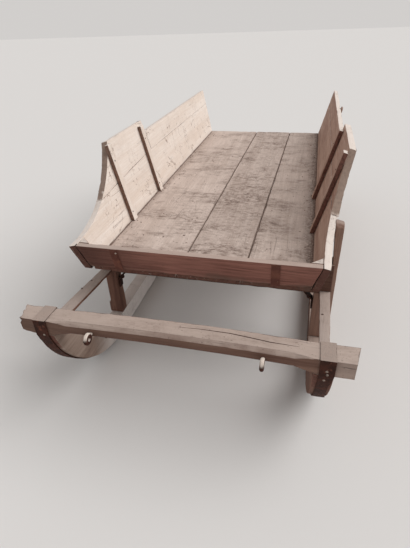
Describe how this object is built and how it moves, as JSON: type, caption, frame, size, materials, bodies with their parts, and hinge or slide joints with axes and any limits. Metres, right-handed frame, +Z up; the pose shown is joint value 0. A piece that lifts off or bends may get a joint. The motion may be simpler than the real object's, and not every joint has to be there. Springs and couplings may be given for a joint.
{
  "type": "sleigh",
  "caption": "Old farm sleigh: open plank box with flared, swooped sides and a low front board, on posts and bolsters over iron-shod wooden runners joined by a beam with draw eyes.",
  "frame": {"origin": "middle of the length and width, on the ground under the runner shoes", "axes": "-Y forwards to the draw eyes, +Y to the open rear, +X to the right hand of someone who looks at the front, +Z up"},
  "size_m": [1.102, 2.4262, 0.8125],
  "materials": {
    "undercarriage_timber": "weathered, dusty",
    "side_boards": "weathered, cracked",
    "floor_planks": "worn, dusty",
    "front_board": "weathered reddish brown",
    "iron": "rusted"
  },
  "bodies": {
    "root": {"runner_left": "undercarriage_timber", "rail_left": "undercarriage_timber", "post_front_left": "undercarriage_timber", "post_middle_left": "undercarriage_timber", "post_rear_left": "undercarriage_timber", "side_plank_left": "side_boards", "side_panel_left": "side_boards", "side_board_left": "side_boards", "cleat_front_left": "side_boards", "cleat_rear_left": "side_boards", "corner_block_left": "side_boards", "stake_middle_left": "side_boards", "stake_rear_left": "side_boards", "runner_right": "undercarriage_timber", "rail_right": "undercarriage_timber", "post_front_right": "undercarriage_timber", "post_middle_right": "undercarriage_timber", "post_rear_right": "undercarriage_timber", "side_plank_right": "side_boards", "side_panel_right": "side_boards", "side_board_right": "side_boards", "cleat_front_right": "side_boards", "cleat_rear_right": "side_boards", "corner_block_right": "side_boards", "stake_middle_right": "side_boards", "stake_rear_right": "side_boards", "stake_front_right": "side_boards", "bolster_front": "undercarriage_timber", "bolster_middle": "undercarriage_timber", "bolster_rear": "undercarriage_timber", "front_beam": "undercarriage_timber", "front_board": "front_board", "floor_plank_left": "floor_planks", "floor_plank_middle": "floor_planks", "floor_plank_right": "floor_planks", "runner_shoe_left": "iron", "runner_shoe_right": "iron", "draw_eye_left": "iron", "draw_eye_right": "iron", "stays_left": "iron", "stays_right": "iron", "front_strap_left": "iron", "front_strap_right": "iron"}
  },
  "joints": []
}
